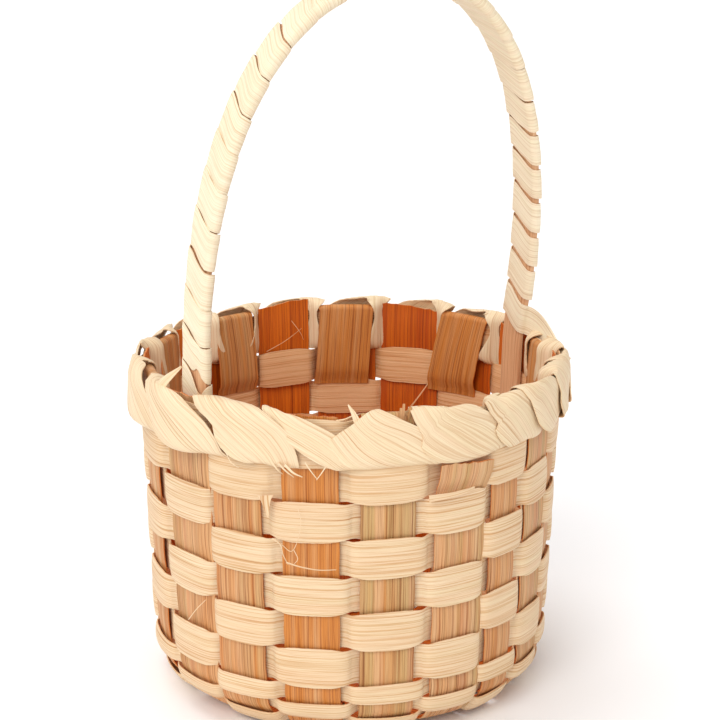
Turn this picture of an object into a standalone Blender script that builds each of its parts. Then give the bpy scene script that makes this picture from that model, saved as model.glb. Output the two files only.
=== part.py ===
"""Small round splint basket with a fixed arched handle.

Every strip of wood is its own solid: ten stakes that cross in a plaited base and stand up as
twenty uprights, ten woven hoops, the lashing round the rim, the handle's core and its wrapping.
Metres, +Z up, origin on the floor under the middle of the base, handle in a plane along X.
"""

import math

import bmesh
import bpy
from mathutils import Vector

# ---- driving dimensions -------------------------------------------------------------------
HEIGHT = 0.108               # floor to the top of the wall
WALL_LEAN = math.radians(2)  # the wall leans out by this much
CORNER_RADIUS = 0.016        # bend between wall and base
BASE_RADIUS = 0.049          # flat part of the base
SPLINT = 0.0007              # thickness of stakes, hoops, lashing and wrapping
CLEARANCE = 0.0004           # air between neighbouring strips

UPRIGHTS = 20
FIRST_UPRIGHT = -136.3       # degrees round from +X
# Degrees from each upright to the next; the basket is hand made, and they stand unevenly.
UPRIGHT_GAPS = (20.4, 20.8, 15.2, 17.1, 13.8, 13.0, 13.2, 17.8, 20.0, 20.0, 20.0, 20.0, 19.0,
                16.5, 16.5, 16.5, 17.5, 24.2, 17.5, 21.0)
UPRIGHT_WIDTH = 0.017
UPRIGHT_SHARE = 0.76         # most of the gap to a neighbour that an upright may fill

TOP_ROW = 0.0146             # the first hoop, with the slot for the lashing under it
ROW_PITCH = 0.0122           # the other hoops on the wall
WALL_ROWS = 7
CORNER_ROWS = (0.0063, 0.0058, 0.0089)
ROW_GAP = 0.0004
LASHING_SLOT = 0.0018        # left open under the first hoop for the lashing

PLAIT_PITCH = 0.013          # stakes in the plaited middle of the base
PLAIT_WIDTH = 0.011
PLAIT_ANGLE = math.radians(20)

HANDLE_RISE = 0.1285         # top of the arch above the rim
HANDLE_ANGLE = math.radians(-6.9)  # the handle's plane passes a little beside the middle
HANDLE_SPREAD = 0.0012       # the legs bow out by this much above the rim
HANDLE_WIDTH = 0.0105
HANDLE_THICKNESS = 0.0025
HANDLE_FOOT_DEPTH = 0.036    # how far the feet reach down inside the wall
HANDLE_SHOULDER = 0.023      # straight leg above the rim
HANDLE_ROUNDNESS = 2.29      # 2 is an ellipse, more is squarer
HANDLE_LEAN = math.radians(-6.8)
HANDLE_UNTWIST = 0.025       # above the rim, where the leg no longer faces the wall
WRAP_PITCH = 0.012
WRAP_GAP = 0.0008
WRAP_START = 0.002           # above the rim, on the two legs
WRAP_END = 0.009

HALF = SPLINT / 2
STEP = SPLINT + CLEARANCE    # from the middle of one layer to the middle of the next
BASE_LEVEL = HALF + STEP / 2  # middle of the base's two layers
TIMES_ROUND = 2 * math.pi


# ---- the basket's middle surface ----------------------------------------------------------
CORNER_TOP = (BASE_RADIUS + CORNER_RADIUS * math.cos(WALL_LEAN),
              BASE_LEVEL + CORNER_RADIUS * (1 - math.sin(WALL_LEAN)))
WALL_LENGTH = (HEIGHT - CORNER_TOP[1]) / math.cos(WALL_LEAN)
TOP_RADIUS = CORNER_TOP[0] + WALL_LENGTH * math.sin(WALL_LEAN)
CORNER_LENGTH = CORNER_RADIUS * (math.pi / 2 - WALL_LEAN)


def profile(down):
    """Radius, height and outward slope at a distance down from the rim."""
    if down <= WALL_LENGTH:
        return (TOP_RADIUS - down * math.sin(WALL_LEAN),
                HEIGHT - down * math.cos(WALL_LEAN), WALL_LEAN)
    slope = min(WALL_LEAN + (down - WALL_LENGTH) / CORNER_RADIUS, math.pi / 2)
    return (BASE_RADIUS + CORNER_RADIUS * math.cos(slope),
            BASE_LEVEL + CORNER_RADIUS * (1 - math.sin(slope)), slope)


def on_wall(down, angle, out=0.0):
    """Point on the wall, moved outward from its middle surface."""
    radius, height, slope = profile(down)
    radius += out * math.cos(slope)
    return Vector((radius * math.cos(angle), radius * math.sin(angle),
                   height - out * math.sin(slope)))


def upright_angle(index):
    """Angle of an upright; an index past the last one goes on round the basket."""
    turns, index = divmod(index, UPRIGHTS)
    return math.radians(FIRST_UPRIGHT + sum(UPRIGHT_GAPS[:index])) + turns * TIMES_ROUND


def upright_half(index, radius=TOP_RADIUS):
    """Half the width of an upright, as an angle at a radius."""
    before = math.radians(UPRIGHT_GAPS[(index - 1) % UPRIGHTS])
    after = math.radians(UPRIGHT_GAPS[index % UPRIGHTS])
    return min(UPRIGHT_WIDTH / radius, UPRIGHT_SHARE * min(before, after)) / 2


def row_span(row):
    """Upper and lower edge of a hoop, as distances down from the rim."""
    pitches = (TOP_ROW,) + (ROW_PITCH,) * (WALL_ROWS - 1) + CORNER_ROWS
    upper = sum(pitches[:row])
    lower = upper + pitches[row] - ROW_GAP
    return upper + (ROW_GAP if row == 0 else 0), lower - (LASHING_SLOT if row == 0 else 0)


# ---- making strips ------------------------------------------------------------------------
def make_material(name, colour, roughness):
    material = bpy.data.materials.new(name)
    material.use_nodes = True
    shader = material.node_tree.nodes["Principled BSDF"]
    shader.inputs["Base Color"].default_value = (*colour, 1)
    shader.inputs["Roughness"].default_value = roughness
    shader.inputs["Metallic"].default_value = 0
    return material


def make_strip(name, stations, material, thickness=SPLINT):
    """A thin strip through stations, each a list of points from one edge to the other."""
    along, across = len(stations) - 1, len(stations[0]) - 1
    mesh = bpy.data.meshes.new(name)
    grid = bmesh.new()
    bmesh.ops.create_grid(grid, x_segments=along, y_segments=across, size=1)
    for vertex in grid.verts:
        station = round((vertex.co.x + 1) / 2 * along)
        place = round((vertex.co.y + 1) / 2 * across)
        vertex.co = stations[station][place]
    grid.to_mesh(mesh)
    grid.free()
    mesh.materials.append(material)
    strip = bpy.data.objects.new(name, mesh)
    collection.objects.link(strip)
    solidify = strip.modifiers.new("thickness", "SOLIDIFY")
    solidify.thickness = thickness
    solidify.offset = 0
    solidify.use_even_offset = True
    return strip


# ---- stakes -------------------------------------------------------------------------------
FOLD_RADIUS = STEP + 0.00005
FLAP_OUT = -2 * FOLD_RADIUS
FLAP_LENGTH = 0.0232
FOLD_START = 0.0002
WALL_STATIONS = 4
CORNER_STATIONS = 8
FAN_STATIONS = 3


def across_upright(index, down, out=0.0):
    half = upright_half(index, profile(down)[0])
    angle = upright_angle(index)
    return [on_wall(down, angle + side * half, out) for side in (-1, 0, 1)]


def upright_stations(index):
    """Stations of one upright from its tip down to the edge of the base."""
    stations = []
    if index % 2:
        for down in (FLAP_LENGTH, FLAP_LENGTH / 2):
            stations.append(across_upright(index, down, FLAP_OUT))
        for step in range(5):
            bend = math.pi * step / 4
            rise = FOLD_RADIUS * math.sin(bend)
            out = -FOLD_RADIUS - FOLD_RADIUS * math.cos(bend)
            row = across_upright(index, FOLD_START, out)
            stations.append([point + Vector((0, 0, rise)) for point in row])
    else:
        stations.append(across_upright(index, 0.0))
    for step in range(1, WALL_STATIONS + 1):
        stations.append(across_upright(index, WALL_LENGTH * step / WALL_STATIONS))
    for step in range(1, CORNER_STATIONS + 1):
        down = WALL_LENGTH + CORNER_LENGTH * step / CORNER_STATIONS
        stations.append(across_upright(index, down))
    return stations


def fan_stations(index, end, heading):
    """Stations from the plaited middle of the base out to the foot of one upright."""
    angle = upright_angle(index)
    radial = Vector((math.cos(angle), math.sin(angle), 0))
    start = radial * BASE_RADIUS
    reach = (start - end).length
    half_out = upright_half(index, BASE_RADIUS) * BASE_RADIUS
    stations = []
    for step in range(1, FAN_STATIONS + 1):
        t = step / (FAN_STATIONS + 1)
        middle = (end * (2 * t**3 - 3 * t**2 + 1) + heading * reach * (t**3 - 2 * t**2 + t)
                  + start * (3 * t**2 - 2 * t**3) + radial * reach * (t**3 - t**2))
        direction = (heading * (1 - t) + radial * t).normalized()
        side = Vector((-direction.y, direction.x, 0))
        half = PLAIT_WIDTH / 2 * (1 - t) + half_out * t
        middle.z = BASE_LEVEL
        stations.append([middle + side * half * place for place in (-1, 0, 1)])
    return stations


def make_stake(name, first, second, lane, group, material):
    """A stake: up the wall, across the base under and over the other five, up the far wall."""
    turn = PLAIT_ANGLE - (math.pi / 2 if group == 0 else 0)
    heading = Vector((math.cos(turn), math.sin(turn), 0))
    side = Vector((-heading.y, heading.x, 0))
    plait = []
    half = PLAIT_WIDTH / 2
    for crossing in range(2, -3, -1):
        over = (crossing + lane + group) % 2
        level = BASE_LEVEL + STEP / 2 * (1 if over else -1)
        for edge in (half, -half):
            middle = heading * (crossing * PLAIT_PITCH + edge) + side * lane * PLAIT_PITCH
            middle.z = level
            plait.append([middle + side * half * place for place in (-1, 0, 1)])
    reach = 2 * PLAIT_PITCH + half
    ends = [heading * sign * reach + side * lane * PLAIT_PITCH for sign in (1, -1)]
    stations = upright_stations(first)
    stations += reversed(fan_stations(first, ends[0], heading))
    stations += plait
    far = fan_stations(second, ends[1], -heading) + list(reversed(upright_stations(second)))
    stations += [list(reversed(row)) for row in far]
    return make_strip(name, stations, material)


# ---- hoops --------------------------------------------------------------------------------
def hoop_side(index, row):
    """1 where the hoop passes outside an upright, -1 where it passes inside."""
    return 1 if (index + row) % 2 == 0 else -1


def make_hoop(name, row, joint, material):
    """A woven hoop whose ends meet on the inner side of the upright named joint."""
    upper, lower = row_span(row)
    bend = profile(lower)[2] - profile(upper)[2]
    across = max(1, math.ceil(bend / math.radians(13)))
    stations = []

    def add(angle, out):
        stations.append([on_wall(upper + (lower - upper) * place / across, angle, out)
                         for place in range(across + 1)])

    # The first hoop's ends meet under a folded upright, which leaves no room for an overlap.
    overlap = 0 if row == 0 else 1
    for index in range(joint, joint + UPRIGHTS + overlap):
        out = hoop_side(index, row) * STEP
        if index == joint + UPRIGHTS:
            out -= STEP
        middle, half = upright_angle(index), upright_half(index, profile(upper)[0])
        for place in (-1, 0, 1):
            add(middle + place * half, out)
        if overlap and index == joint + UPRIGHTS - 1:
            near = upright_angle(index + 1) - upright_half(index + 1, profile(upper)[0])
            far = middle + half
            add(far + (near - far) * 0.72, -2 * STEP)
    return make_strip(name, stations, material)


# ---- lashing ------------------------------------------------------------------------------
LASH_OUT = 0.0026
LASH_IN = -0.0034
LASH_TOP = -0.0021
LASH_SLOT_DOWN = TOP_ROW - ROW_GAP / 2 - LASHING_SLOT / 2 + 0.0002
# One turn round the rim: outward, down from the rim, share of the way to the next gap, and
# width as a share of the distance between uprights.
LASH_TURN = (
    (LASH_OUT, -0.0010, 0.08, 0.40),
    (LASH_OUT, 0.0030, 0.25, 0.60),
    (LASH_OUT, 0.0075, 0.50, 0.62),
    (LASH_OUT, 0.0112, 0.75, 0.45),
    (LASH_OUT, LASH_SLOT_DOWN - 0.0008, 0.93, 0.20),
    (LASH_OUT - 0.0008, LASH_SLOT_DOWN, 1.00, 0.15),
    (LASH_IN + 0.0008, LASH_SLOT_DOWN, 1.00, 0.15),
    (LASH_IN, LASH_SLOT_DOWN - 0.0008, 1.00, 0.17),
    (LASH_IN, 0.0070, 1.00, 0.18),
    (LASH_IN, 0.0020, 1.00, 0.18),
    (LASH_IN, LASH_TOP + 0.0009, 1.00, 0.18),
    (LASH_IN + 0.0009, LASH_TOP, 1.00, 0.18),
    (LASH_OUT - 0.0011, LASH_TOP, 1.02, 0.22),
)


def gap_angle(index):
    """Middle of the gap after an upright."""
    upright, following = upright_angle(index), upright_angle(index + 1)
    return (upright + upright_half(index) + following - upright_half(index + 1)) / 2


def make_lashing(name, material):
    stations = []
    for turn in range(UPRIGHTS):
        start, end = gap_angle(turn), gap_angle(turn + 1)
        for out, down, share, width in LASH_TURN:
            angle = start + (end - start) * share
            half = (end - start) * width / 2
            stations.append([on_wall(down, angle - half, out), on_wall(down, angle + half, out)])
    return make_strip(name, stations[:-3], material)


# ---- handle -------------------------------------------------------------------------------
CORE_SAG = 0.0004            # a flat foot against a round wall
CORE_OUT = -(STEP + HALF + CLEARANCE + CORE_SAG + HANDLE_THICKNESS / 2)
RIGHT_FOOT = on_wall(0, HANDLE_ANGLE, CORE_OUT)


def make_arch():
    """Points of the handle's middle line from the left foot over the top to the right foot."""
    steps = 160
    spring = HEIGHT + HANDLE_SHOULDER
    rise = HANDLE_RISE - HANDLE_SHOULDER - HANDLE_THICKNESS
    half_span = RIGHT_FOOT.x + HANDLE_SPREAD
    outline = []
    for step in range(13):
        height = HEIGHT - HANDLE_FOOT_DEPTH + (HANDLE_FOOT_DEPTH + HANDLE_SHOULDER) * step / 12
        inward = max(0, HEIGHT - height) * math.tan(WALL_LEAN)
        outward = HANDLE_SPREAD * max(0, height - HEIGHT) / HANDLE_SHOULDER
        outline.append((RIGHT_FOOT.x - inward + outward, height))
    for step in range(1, steps + 1):
        turn = math.pi / 2 * step / steps
        outline.append((half_span * math.cos(turn) ** (2 / HANDLE_ROUNDNESS),
                        spring + rise * math.sin(turn) ** (2 / HANDLE_ROUNDNESS)))
    left = [(-x, z) for x, z in outline]
    points = []
    for x, z in left + outline[-2::-1]:
        lean = max(0, z - HEIGHT) * math.tan(HANDLE_LEAN)
        points.append(Vector((x, RIGHT_FOOT.y + lean, z)))
    return points


ARCH = make_arch()
ARCH_DISTANCE = [0.0]
for earlier, later in zip(ARCH, ARCH[1:]):
    ARCH_DISTANCE.append(ARCH_DISTANCE[-1] + (later - earlier).length)
ARCH_LENGTH = ARCH_DISTANCE[-1]


def along_arch(distance):
    """Point on the arch's middle line at a distance from its left foot."""
    for index in range(1, len(ARCH)):
        if ARCH_DISTANCE[index] >= distance or index == len(ARCH) - 1:
            span = ARCH_DISTANCE[index] - ARCH_DISTANCE[index - 1]
            share = (distance - ARCH_DISTANCE[index - 1]) / span
            return ARCH[index - 1].lerp(ARCH[index], share)


def arch_frame(distance):
    """Point, sideways direction and outward direction on the arch."""
    reach = 0.002
    behind = along_arch(max(distance - reach, 0.0))
    ahead = along_arch(min(distance + reach, ARCH_LENGTH))
    tangent = (ahead - behind).normalized()
    outward = tangent.cross(Vector((0, -1, 0))).normalized()
    side = tangent.cross(outward)
    middle = along_arch(distance)
    twist = HANDLE_ANGLE * min(1, max(0, 1 - (middle.z - HEIGHT) / HANDLE_UNTWIST))
    return (middle, side * math.cos(twist) + outward * math.sin(twist),
            outward * math.cos(twist) - side * math.sin(twist))


def make_core(name, material):
    stations = []
    segments = 64
    for step in range(segments + 1):
        middle, side, outward = arch_frame(ARCH_LENGTH * step / segments)
        stations.append([middle + side * HANDLE_WIDTH / 2 * place for place in (-1, 1)])
    return make_strip(name, stations, material, HANDLE_THICKNESS)


def make_wrap(name, material):
    """The strip wound round the handle's core."""
    clear = CLEARANCE + 0.0002 + HALF
    wide, thick = HANDLE_WIDTH / 2 + clear, HANDLE_THICKNESS / 2 + clear
    chamfer = 0.0007
    ring = [(wide, -thick + chamfer), (wide, thick - chamfer), (wide - chamfer, thick),
            (-wide + chamfer, thick), (-wide, thick - chamfer), (-wide, -thick + chamfer),
            (-wide + chamfer, -thick), (wide - chamfer, -thick)]
    start = HANDLE_FOOT_DEPTH + WRAP_START + WRAP_PITCH / 2
    end = ARCH_LENGTH - HANDLE_FOOT_DEPTH - WRAP_END - WRAP_PITCH / 2
    turns = int((end - start) / WRAP_PITCH)
    half = (WRAP_PITCH - WRAP_GAP) / 2
    stations = []
    for step in range(turns * len(ring) + 1):
        across, out = ring[step % len(ring)]
        distance = start + step / len(ring) * WRAP_PITCH
        row = []
        for place in (-1, 1):
            middle, side, outward = arch_frame(distance + place * half)
            row.append(middle + side * across + outward * out)
        stations.append(row)
    return make_strip(name, stations, material)


# ---- assembly -----------------------------------------------------------------------------
def clear_scene():
    for thing in list(bpy.data.objects):
        bpy.data.objects.remove(thing, do_unlink=True)


clear_scene()
collection = bpy.data.collections.new("splint_basket")
bpy.context.scene.collection.children.link(collection)

for number in range(10):
    group, lane = divmod(number, 5)
    upright = (2 + lane) if group == 0 else (7 + lane)
    opposite = (16 - lane) if group == 0 else (1 - lane) % UPRIGHTS
    tan = make_material(f"stake_wood_{number + 1}", (0.55, 0.30, 0.13), 0.62)
    make_stake(f"stake_{number + 1:02d}", upright, opposite, lane - 2, group, tan)

for row in range(WALL_ROWS + len(CORNER_ROWS)):
    pale = make_material(f"hoop_wood_{row + 1}", (0.83, 0.63, 0.38), 0.55)
    joint = (5 + 7 * row) % UPRIGHTS
    if hoop_side(joint, row) == 1:
        joint += 1
    make_hoop(f"weaver_{row + 1:02d}", row, joint, pale)

make_lashing("rim_lashing", make_material("lashing_wood", (0.86, 0.68, 0.42), 0.5))
make_core("handle_core", make_material("core_wood", (0.70, 0.48, 0.26), 0.6))
make_wrap("handle_wrap", make_material("wrap_wood", (0.85, 0.67, 0.42), 0.5))
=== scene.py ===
"""Looks for the small splint basket: every strip of split wood, its grain, frayed ends and fibres.

All lengths are metres. The basket stands on z = 0 and its handle lies along X.
"""
import math
import random

import bpy
import numpy as np
from mathutils import Matrix, Vector, noise


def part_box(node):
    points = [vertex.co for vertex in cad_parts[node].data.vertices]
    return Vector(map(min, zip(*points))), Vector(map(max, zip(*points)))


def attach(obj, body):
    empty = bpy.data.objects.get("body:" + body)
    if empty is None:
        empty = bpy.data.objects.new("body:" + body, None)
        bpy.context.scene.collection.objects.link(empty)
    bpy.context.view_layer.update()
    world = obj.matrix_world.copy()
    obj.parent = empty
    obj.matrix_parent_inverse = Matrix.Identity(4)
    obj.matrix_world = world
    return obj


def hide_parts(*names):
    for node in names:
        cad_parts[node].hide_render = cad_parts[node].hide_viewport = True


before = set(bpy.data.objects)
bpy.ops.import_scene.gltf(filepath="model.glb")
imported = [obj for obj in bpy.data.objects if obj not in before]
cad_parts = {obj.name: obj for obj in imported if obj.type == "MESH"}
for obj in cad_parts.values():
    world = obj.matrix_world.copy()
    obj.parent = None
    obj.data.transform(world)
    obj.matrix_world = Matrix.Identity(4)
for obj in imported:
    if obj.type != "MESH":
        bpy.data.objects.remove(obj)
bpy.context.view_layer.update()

# ---- driving dimensions -------------------------------------------------------------------
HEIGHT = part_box("stake_01")[1][2]        # an upright that is cut off flush at the rim
WALL_LEAN = math.radians(2)  # the wall leans out by this much
CORNER_RADIUS = 0.016        # bend between wall and base
BASE_RADIUS = 0.049          # flat part of the base
BASE_LEVEL = 0.0009          # middle of the base's two layers
SPLINT = 0.0007              # thickness of the splint

UPRIGHTS = 20
FIRST_UPRIGHT = -136.3       # degrees round from +X
# Degrees from each upright to the next.
UPRIGHT_GAPS = (20.4, 20.8, 15.2, 17.1, 13.8, 13.0, 13.2, 17.8, 20.0, 20.0, 20.0, 20.0, 19.0,
                16.5, 16.5, 16.5, 17.5, 24.2, 17.5, 21.0)
UPRIGHT_WIDTH = 0.0172
# Uprights that are wider or narrower than most.
OTHER_WIDTHS = {0: 0.0177, 2: 0.0187, 3: 0.0122, 4: 0.0158, 5: 0.0122, 6: 0.0118, 7: 0.0122,
                8: 0.0180, 9: 0.0212, 10: 0.0218, 11: 0.0212, 12: 0.0192, 13: 0.0180, 18: 0.0205,
                19: 0.0174}
UPRIGHT_SHARE = 0.92         # most of the gap to its neighbours that an upright may fill
# How deep the colour of each stake is at its two ends.
STAKE_TONES = ((0.45, 0.45), (0.55, 0.72), (0.40, 0.45), (0.50, 0.72), (0.60, 0.50), (0.75, 0.30),
               (0.70, 0.95), (0.95, 0.42), (0.85, 0.35), (0.92, 0.50))
# How far the end of a folded flap lies to one side.
FLAP_SLANTS = {7: -0.002, 9: 0.0055, 11: 0.0022, 13: -0.0015, 15: 0.003}

TOP_ROW = 0.0146             # the top hoop, which the lashing goes round
ROW_PITCH = 0.0122           # the other hoops on the wall
WALL_ROWS = 7
CORNER_ROWS = (0.0063, 0.0058, 0.0089)
ROWS = WALL_ROWS + len(CORNER_ROWS)
ROW_GAP = 0.0003
ROW_OVERLAP = 0.0006         # how far a hoop reaches past its own row on each side
ROW_TILT = 0.0010            # how far the hoops sink on their low side
LEVEL_SIDE = math.radians(54)  # here they are level, a quarter turn before the low side
WEAVE_REACH = 0.00140        # how far a hoop stands off the wall where it passes an upright

PLAIT_PITCH = 0.013          # stakes in the plaited middle of the base
PLAIT_WIDTH = 0.0118
PLAIT_ANGLE = math.radians(20)
PLAIT_LEVEL = 0.00055        # how far a stake rises and falls in the plait

HANDLE_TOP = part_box("handle_core")[1][2]
HANDLE_THICKNESS = 0.0025
HANDLE_WIDTH = 0.0105
HANDLE_ANGLE = math.radians(-6.9)  # where the right foot stands
HANDLE_FOOT_DEPTH = 0.036    # how far the feet reach down inside the wall
HANDLE_SPREAD = 0.0012       # the legs bow out by this much above the rim
HANDLE_SHOULDER = 0.023      # straight leg above the rim
HANDLE_ROUNDNESS = 2.29      # 2 is an ellipse, more is squarer
HANDLE_LEAN = math.radians(-6.8)
HANDLE_UNTWIST = 0.025       # above the rim, where the leg no longer faces the wall
WRAP_PITCH = 0.0121

ACROSS = 13                  # points across a stake or the lashing

CORNER_TOP = (BASE_RADIUS + CORNER_RADIUS * math.cos(WALL_LEAN),
              BASE_LEVEL + CORNER_RADIUS * (1 - math.sin(WALL_LEAN)))
WALL_LENGTH = (HEIGHT - CORNER_TOP[1]) / math.cos(WALL_LEAN)
TOP_RADIUS = CORNER_TOP[0] + WALL_LENGTH * math.sin(WALL_LEAN)
CORNER_LENGTH = CORNER_RADIUS * (math.pi / 2 - WALL_LEAN)


def wander(seed, *place):
    """Smooth repeatable noise between about -1 and 1."""
    place = list(place) + [0.0, 0.0]
    return noise.noise(Vector((place[0] + seed * 17.31, place[1] - seed * 5.77, place[2] + seed)))


def ease(t):
    """From 0 to 1, smooth at both ends."""
    t = min(1.0, max(0.0, t))
    return t * t * (3 - 2 * t)


def bell(x, width):
    """1 at nought, fading to 0 on both sides."""
    return math.exp(-(x / width) ** 2)


def pass_through(a, b, c, d, t):
    """A smooth way from b to c, with a before and d after them."""
    return 0.5 * (2 * b + (c - a) * t + (2 * a - 5 * b + 4 * c - d) * t**2
                  + (3 * b - 3 * c + d - a) * t**3)


def bend_between(start, leave, end, arrive, t):
    """A smooth way from start to end that leaves and arrives in given directions."""
    return (start * (2 * t**3 - 3 * t**2 + 1) + leave * (t**3 - 2 * t**2 + t)
            + end * (3 * t**2 - 2 * t**3) + arrive * (t**3 - t**2))


# ---- the basket's middle surface ----------------------------------------------------------
def profile(down):
    """Radius, height and outward slope at a distance down from the rim."""
    if down <= WALL_LENGTH:
        return (TOP_RADIUS - down * math.sin(WALL_LEAN),
                HEIGHT - down * math.cos(WALL_LEAN), WALL_LEAN)
    slope = min(WALL_LEAN + (down - WALL_LENGTH) / CORNER_RADIUS, math.pi / 2)
    return (BASE_RADIUS + CORNER_RADIUS * math.cos(slope),
            BASE_LEVEL + CORNER_RADIUS * (1 - math.sin(slope)), slope)


def on_wall(down, angle, out=0.0):
    """A point on the wall, down from the rim and outward from the middle surface."""
    radius, height, slope = profile(down)
    radius += out * math.cos(slope)
    return Vector((radius * math.cos(angle), radius * math.sin(angle),
                   height - out * math.sin(slope)))


def upright_angle(index):
    """Direction of an upright; indices past the last go on round."""
    turns, index = divmod(index, UPRIGHTS)
    return math.radians(FIRST_UPRIGHT + sum(UPRIGHT_GAPS[:index])) + turns * 2 * math.pi


def upright_half(index, radius=TOP_RADIUS):
    """Half the angle that an upright covers."""
    index %= UPRIGHTS
    room = UPRIGHT_SHARE * math.radians(UPRIGHT_GAPS[index] + UPRIGHT_GAPS[index - 1]) / 2
    return min(OTHER_WIDTHS.get(index, UPRIGHT_WIDTH) / radius, room) / 2


def row_span(row):
    """Where a hoop begins and ends, down from the rim."""
    pitches = (TOP_ROW,) + (ROW_PITCH,) * (WALL_ROWS - 1) + CORNER_ROWS
    upper = sum(pitches[:row])
    return upper, upper + pitches[row] - ROW_GAP


def hoop_side(index, row):
    """1 where the hoop passes outside an upright, -1 where it passes inside."""
    return 1 if (index + row) % 2 == 0 else -1


# ---- meshes -------------------------------------------------------------------------------
SHARP_ANGLE = math.radians(48)


def strip_part(rows, thickness=SPLINT, flip=False, tone=0.5, seed=0.0, thin=0.45):
    """A closed thin strip through a grid of points, with UVs in metres along the grain.

    Tone is one depth of colour or one for each end, and thin is how much the edges thin out.
    """
    points = np.array([[tuple(point) for point in row] for row in rows])
    count, width = points.shape[:2]
    along = np.gradient(points, axis=0)
    across = np.gradient(points, axis=1)
    normal = np.cross(along, across)
    normal /= np.maximum(np.linalg.norm(normal, axis=2, keepdims=True), 1e-12)
    if flip:
        normal = -normal
    place = np.linspace(-1, 1, width)
    half = thickness / 2 * (1 - thin * np.abs(place) ** 6)
    top = points + normal * half[None, :, None]
    bottom = points - normal * half[None, :, None]
    size = count * width
    index = np.arange(size).reshape(count, width)
    corners = [index[:-1, :-1], index[1:, :-1], index[1:, 1:], index[:-1, 1:]]
    if flip:
        corners.reverse()
    upper = np.stack(corners, -1).reshape(-1, 4)
    lower = upper[:, ::-1] + size
    loop = np.concatenate([index[0, :], index[1:, -1], index[-1, -2::-1], index[-2:0:-1, 0]])
    following = np.roll(loop, -1)
    rim = np.stack([loop, following, following + size, loop + size], -1)
    if flip:
        rim = rim[:, ::-1]
    step = np.linalg.norm(np.diff(points, axis=0), axis=2).mean(axis=1)
    length = np.concatenate([[0], np.cumsum(step)])
    reach = np.linalg.norm(np.diff(points, axis=1), axis=2).sum(axis=1)
    u = np.repeat(length[:, None], width, axis=1) + seed * 3.7
    v = reach[:, None] / 2 * place[None, :] + seed * 1.3
    uv = np.stack([u, v], -1).reshape(-1, 2)
    ends = tone if isinstance(tone, tuple) else (tone, tone)
    shades = np.repeat(np.linspace(*ends, count), width)
    return (np.concatenate([top.reshape(-1, 3), bottom.reshape(-1, 3)]),
            np.concatenate([upper, lower, rim]), np.concatenate([uv, uv]),
            np.repeat([0.0, 1.0], size), np.concatenate([shades, shades]))


def make_piece(name, parts, material):
    """One mesh object of one or more strips."""
    sizes = np.cumsum([0] + [len(part[0]) for part in parts])
    vertices = np.concatenate([part[0] for part in parts])
    faces = np.concatenate([part[1] + shift for part, shift in zip(parts, sizes)])
    uv, inner, shades = (np.concatenate([part[k] for part in parts]) for k in (2, 3, 4))
    mesh = bpy.data.meshes.new(name)
    mesh.from_pydata(vertices.tolist(), [], faces.tolist())
    layer = mesh.uv_layers.new(name="grain")
    layer.data.foreach_set("uv", uv[faces.reshape(-1)].reshape(-1).astype(np.float32))
    # The inner attribute marks the back face of each strip. The materials paint these faces in their
    # inner colours, which include painted shade and painted glow.
    for attribute, values in (("inner", inner), ("tone", shades)):
        data = mesh.attributes.new(attribute, "FLOAT", "POINT").data
        data.foreach_set("value", values.astype(np.float32))
    mesh.shade_smooth()
    mesh.set_sharp_from_angle(angle=SHARP_ANGLE)
    mesh.materials.append(material)
    thing = bpy.data.objects.new(name, mesh)
    bpy.context.scene.collection.objects.link(thing)
    return thing


def strip(name, rows, material, **shape):
    """One mesh object of one strip."""
    return make_piece(name, [strip_part(rows, **shape)], material)


# ---- materials ----------------------------------------------------------------------------
class Nodes:
    """Short hand for building a node tree."""

    def __init__(self, material):
        self.tree = material.node_tree

    def add(self, kind, **inputs):
        node = self.tree.nodes.new(kind)
        for key, value in inputs.items():
            socket = key.replace("_", " ")
            if isinstance(value, bpy.types.NodeSocket):
                self.tree.links.new(value, node.inputs[socket])
            else:
                node.inputs[socket].default_value = value
        return node

    def math(self, operation, first, second):
        node = self.tree.nodes.new("ShaderNodeMath")
        node.operation = operation
        for place, value in enumerate((first, second)):
            if isinstance(value, bpy.types.NodeSocket):
                self.tree.links.new(value, node.inputs[place])
            else:
                node.inputs[place].default_value = value
        return node.outputs[0]

    def stretched(self, along, across, shift=0.0):
        """Grain coordinates with so many features to the metre along and across."""
        vector = self.add("ShaderNodeCombineXYZ")
        self.tree.links.new(self.math("MULTIPLY", self.u, along), vector.inputs[0])
        self.tree.links.new(self.math("MULTIPLY", self.v, across), vector.inputs[1])
        vector.inputs[2].default_value = shift
        return vector.outputs[0]

    def noise(self, along, across, shift=0.0, detail=2.0, rough=0.5, twist=0.0):
        node = self.add("ShaderNodeTexNoise", Vector=self.stretched(along, across, shift),
                        Scale=1.0, Detail=detail, Roughness=rough, Distortion=twist)
        return node.outputs["Fac"]

    def remap(self, value, low, high, start=0.0, end=1.0):
        node = self.add("ShaderNodeMapRange", Value=value)
        node.inputs["From Min"].default_value = low
        node.inputs["From Max"].default_value = high
        node.inputs["To Min"].default_value = start
        node.inputs["To Max"].default_value = end
        return node.outputs[0]

    def mix(self, factor, first, second, blend="MIX"):
        node = self.tree.nodes.new("ShaderNodeMix")
        node.data_type = "RGBA"
        node.blend_type = blend
        for socket, value in ((node.inputs[0], factor), (node.inputs[6], first),
                              (node.inputs[7], second)):
            if isinstance(value, bpy.types.NodeSocket):
                self.tree.links.new(value, socket)
            elif isinstance(value, tuple):
                socket.default_value = (*value, 1)
            else:
                socket.default_value = value
        return node.outputs[2]


KNOT_COLOUR = (0.30, 0.17, 0.08)
KNOT_CHANCE = 0.07
GRAIN_DEPTH = 0.0004


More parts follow.
